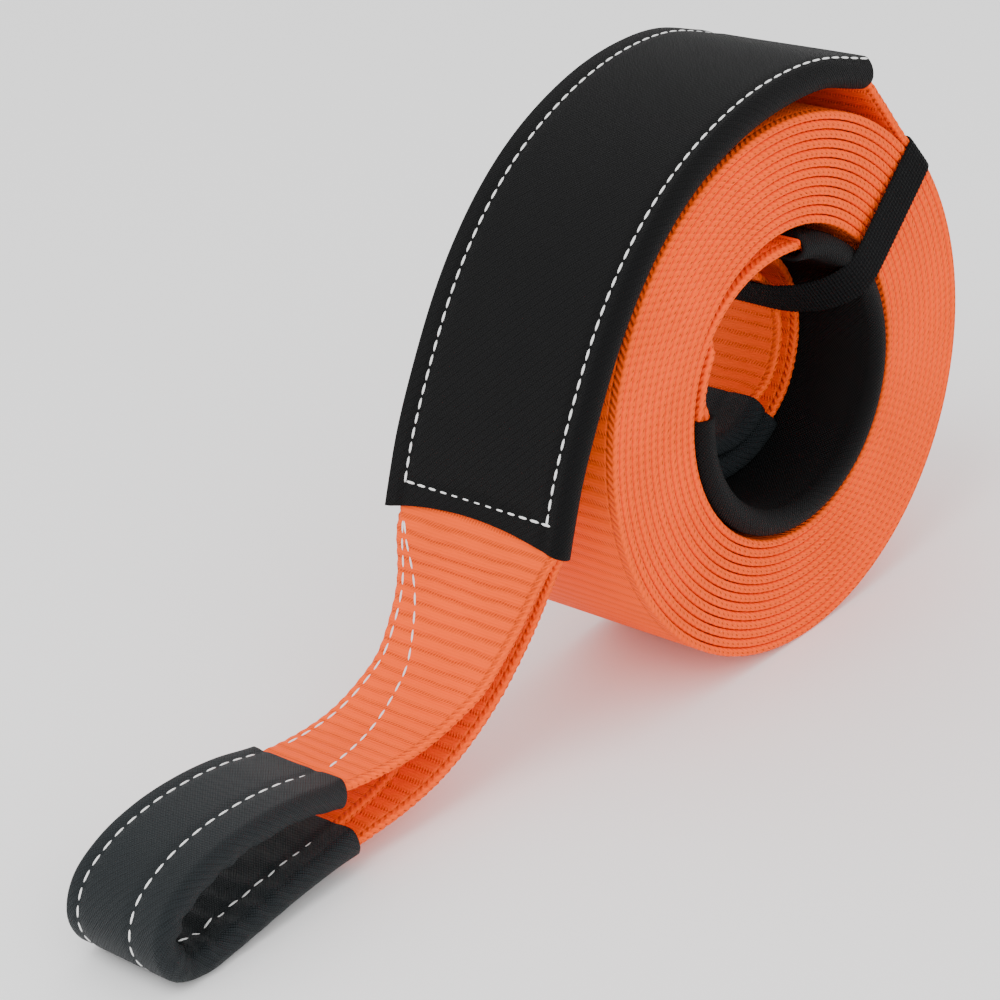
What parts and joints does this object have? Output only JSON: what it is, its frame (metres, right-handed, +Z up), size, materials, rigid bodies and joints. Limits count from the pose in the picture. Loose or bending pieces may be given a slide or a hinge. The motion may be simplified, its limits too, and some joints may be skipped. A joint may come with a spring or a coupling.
{
  "type": "rolled recovery tow strap",
  "caption": "Recovery tow strap of flat orange webbing, rolled up on its rim with a tie band, black label sleeves and a padded folded eye at each end.",
  "frame": {"origin": "on the floor, under the roll's axis and midway across the webbing", "axes": "+X along the roll's axis, -Y from the roll to the loose eye in front of it, +Z up"},
  "size_m": [0.0888, 0.4129, 0.2204],
  "materials": {
    "webbing": "woven orange polyester webbing",
    "label_sleeve": "coarse woven black nylon with white lock stitching",
    "wear_sleeve": "coarse woven blue-black nylon over padding, with white lock stitching",
    "tie_band": "ribbed black elastic band"
  },
  "bodies": {
    "root": {"webbing_roll": "webbing", "webbing_tail": "webbing", "webbing_inner_end": "webbing", "outer_label_sleeve": "label_sleeve", "inner_label_sleeve": "label_sleeve", "outer_eye_sleeve": "wear_sleeve", "inner_eye_sleeve": "wear_sleeve", "tie_band": "tie_band"}
  },
  "joints": []
}
